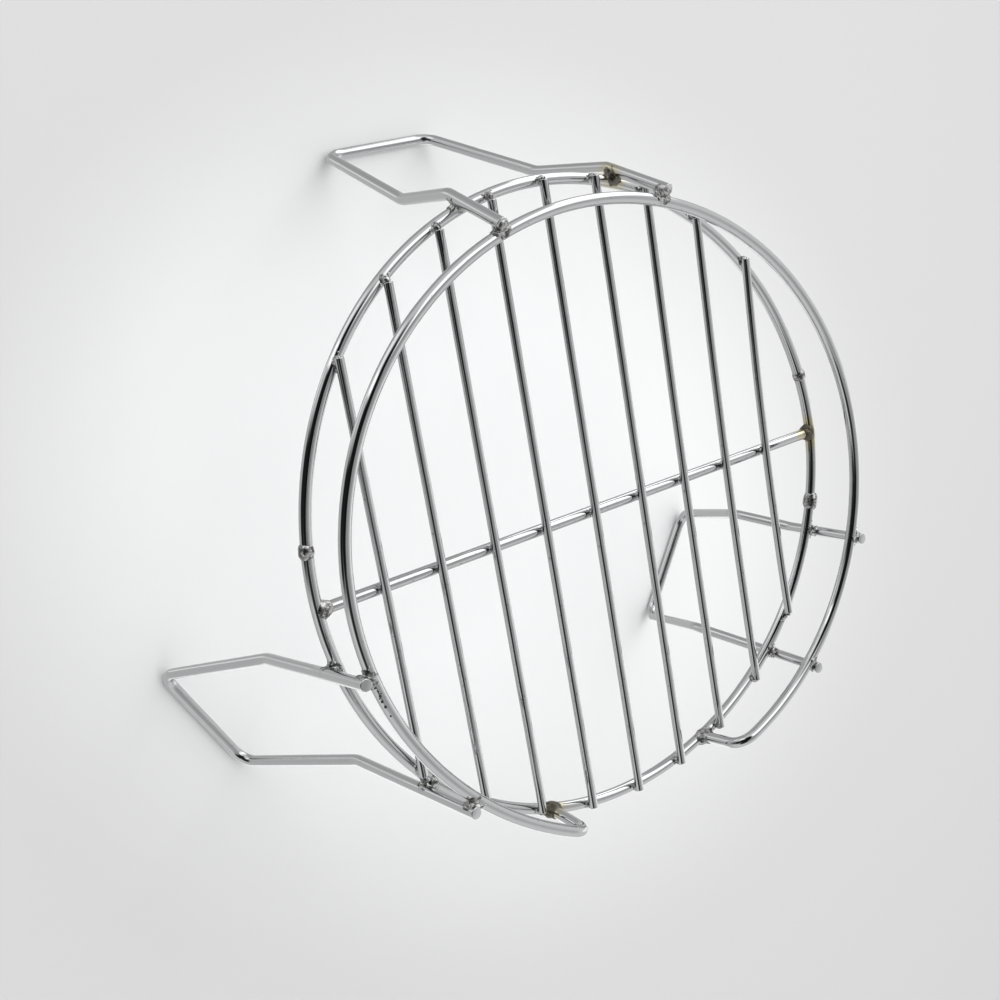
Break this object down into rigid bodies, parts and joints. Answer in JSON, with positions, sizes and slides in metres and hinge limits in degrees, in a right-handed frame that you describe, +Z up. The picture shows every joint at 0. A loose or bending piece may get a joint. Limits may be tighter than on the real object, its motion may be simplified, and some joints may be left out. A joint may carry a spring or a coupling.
{
  "type": "wire pot stand",
  "caption": "Round welded-wire stand: a ring platform crossed by parallel bars, a low guard rail open at the front, and bent-wire legs.",
  "frame": {"origin": "on the floor under the middle of the overall bounding box, which lies 6.0 mm left of and 13.6 mm behind the middle of the platform ring", "axes": "+Z up, square to the platform; +Y towards the back leg, along the grid bars; -Y towards the open front of the guard rail; +X to the right, along the crossbar"},
  "size_m": [0.3192, 0.3054, 0.1556],
  "materials": {
    "ring_wire": "bright plated wire",
    "grid_wire": "bright plated wire",
    "leg_wire": "bright plated wire with faint bending marks",
    "weld_metal": "dull grey weld beads under the plating"
  },
  "bodies": {
    "root": {"platform_ring": "ring_wire", "guard_rail": "ring_wire", "crossbar": "grid_wire", "grid_bar_1": "grid_wire", "grid_bar_2": "grid_wire", "grid_bar_3": "grid_wire", "grid_bar_4": "grid_wire", "grid_bar_5": "grid_wire", "grid_bar_6": "grid_wire", "grid_bar_7": "grid_wire", "grid_bar_8": "grid_wire", "grid_bar_9": "grid_wire", "leg_back": "leg_wire", "leg_front_left": "leg_wire", "leg_front_right": "leg_wire", "crossbar_weld_left": "weld_metal", "crossbar_weld_right": "weld_metal", "guard_end_weld_left": "weld_metal", "guard_end_weld_right": "weld_metal", "leg_back_platform_weld_left": "weld_metal", "leg_back_guard_weld_left": "weld_metal", "leg_back_platform_weld_right": "weld_metal", "leg_back_guard_weld_right": "weld_metal", "leg_front_left_platform_weld_left": "weld_metal", "leg_front_left_guard_weld_left": "weld_metal", "leg_front_left_platform_weld_right": "weld_metal", "leg_front_left_guard_weld_right": "weld_metal", "leg_front_right_platform_weld_left": "weld_metal", "leg_front_right_guard_weld_left": "weld_metal", "leg_front_right_platform_weld_right": "weld_metal", "leg_front_right_guard_weld_right": "weld_metal", "splice_weld_left": "weld_metal", "splice_weld_right_back": "weld_metal", "splice_weld_right_front": "weld_metal"}
  },
  "joints": []
}
